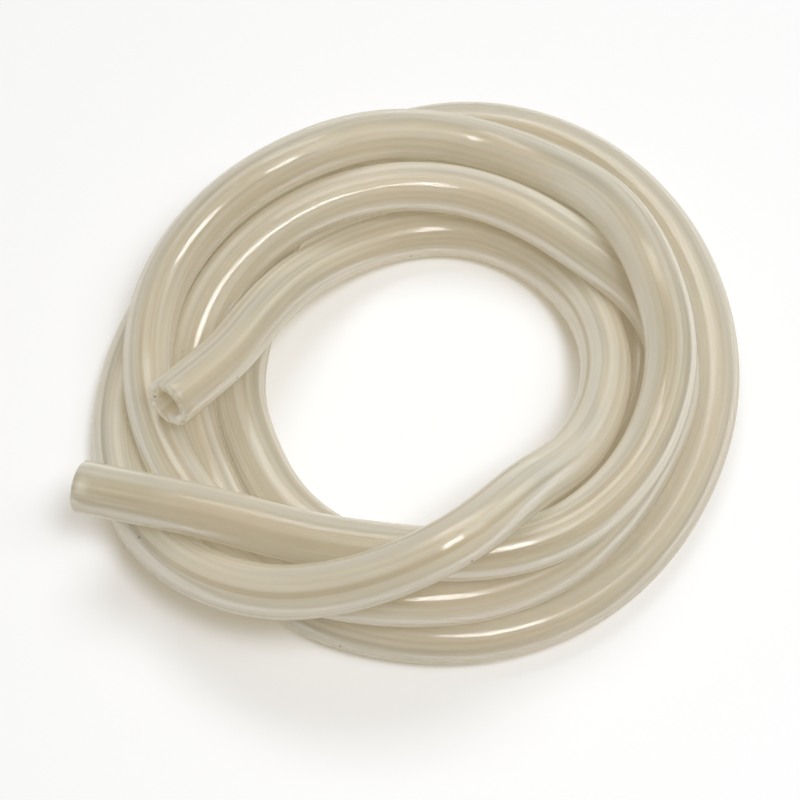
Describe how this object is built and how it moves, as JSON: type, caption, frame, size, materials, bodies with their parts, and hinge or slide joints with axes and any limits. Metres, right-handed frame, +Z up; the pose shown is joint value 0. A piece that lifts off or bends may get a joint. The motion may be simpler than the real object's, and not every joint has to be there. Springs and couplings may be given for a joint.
{
  "type": "silicone tubing coil",
  "caption": "Soft hollow tube wound by hand into a flat round coil, with both cut ends lying across the top of the turns.",
  "frame": {"origin": "below the middle of the coil's box, on the floor that it lies on", "axes": "+Z up through the hole of the coil, +X to the right and +Y to the back, with the outer cut end pointing to the left"},
  "size_m": [0.129, 0.1258, 0.0389],
  "materials": {
    "silicone": "milky translucent silicone rubber with a soft satin gloss"
  },
  "bodies": {
    "root": {"silicone_tube": "silicone"}
  },
  "joints": []
}
